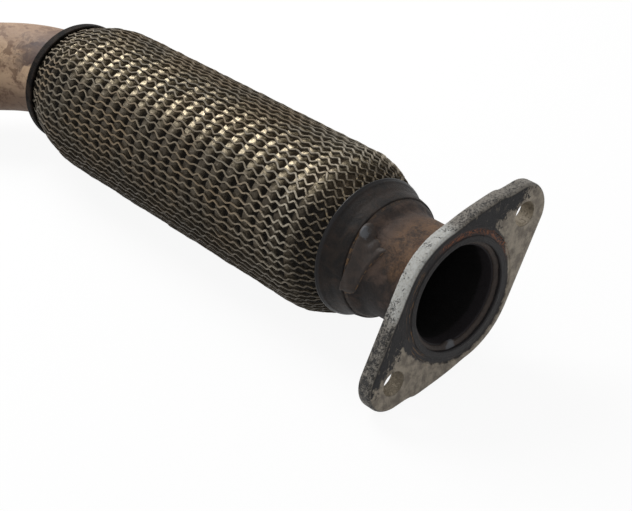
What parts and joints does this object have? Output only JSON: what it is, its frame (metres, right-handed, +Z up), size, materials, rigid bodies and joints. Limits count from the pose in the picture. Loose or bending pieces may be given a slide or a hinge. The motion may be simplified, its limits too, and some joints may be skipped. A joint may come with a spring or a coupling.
{
  "type": "exhaust flex pipe",
  "caption": "Exhaust flex pipe: bellows under a sleeve of zigzag steel strips, between an eared flange on a stepped neck and a bent pipe; lets an engine move against its exhaust.",
  "frame": {"origin": "centre of the flange's sealing face, on the axis of the flexible section", "axes": "+X out of the flange along that axis, +Z up with the part lying on its sleeve and lower ear, the rear pipe bending towards -Y"},
  "size_m": [0.3572, 0.103, 0.0762],
  "materials": {
    "plate_steel": "worn, carbon stained",
    "weld_bead": "as welded",
    "rusty_tube": "rusted",
    "cap_steel": "heat darkened",
    "clamp_steel": "dull",
    "strip_steel": "tarnished",
    "bellows_steel": "heat tinted",
    "liner_steel": "sooted",
    "rear_cap_steel": "black",
    "pipe_steel": "heat tinted, stained"
  },
  "bodies": {
    "flex": {"outer_mesh": "strip_steel", "bellows": "bellows_steel", "liner": "liner_steel"},
    "flange_end": {"flange": "plate_steel", "flange_inner_weld": "weld_bead", "flange_weld": "weld_bead", "neck": "rusty_tube", "neck_weld": "weld_bead", "front_cap": "cap_steel", "front_ring": "clamp_steel"},
    "pipe_end": {"rear_ring": "clamp_steel", "rear_cap": "rear_cap_steel", "rear_weld": "weld_bead", "rear_pipe": "pipe_steel"}
  },
  "joints": [
    {"name": "front_pitch", "type": "hinge", "parent": "flex", "child": "flange_end", "pos_m": [-0.1084, 0, 0], "axis": [0, 1, 0], "range_deg": [-8, 8], "stiffness_Nm_per_rad": 90, "deforming": ["outer_mesh", "bellows", "liner"]},
    {"name": "rear_yaw", "type": "hinge", "parent": "flex", "child": "pipe_end", "pos_m": [-0.2174, 0, 0], "axis": [0, 0, 1], "range_deg": [-8, 8], "stiffness_Nm_per_rad": 90, "deforming": ["outer_mesh", "bellows", "liner"]}
  ]
}
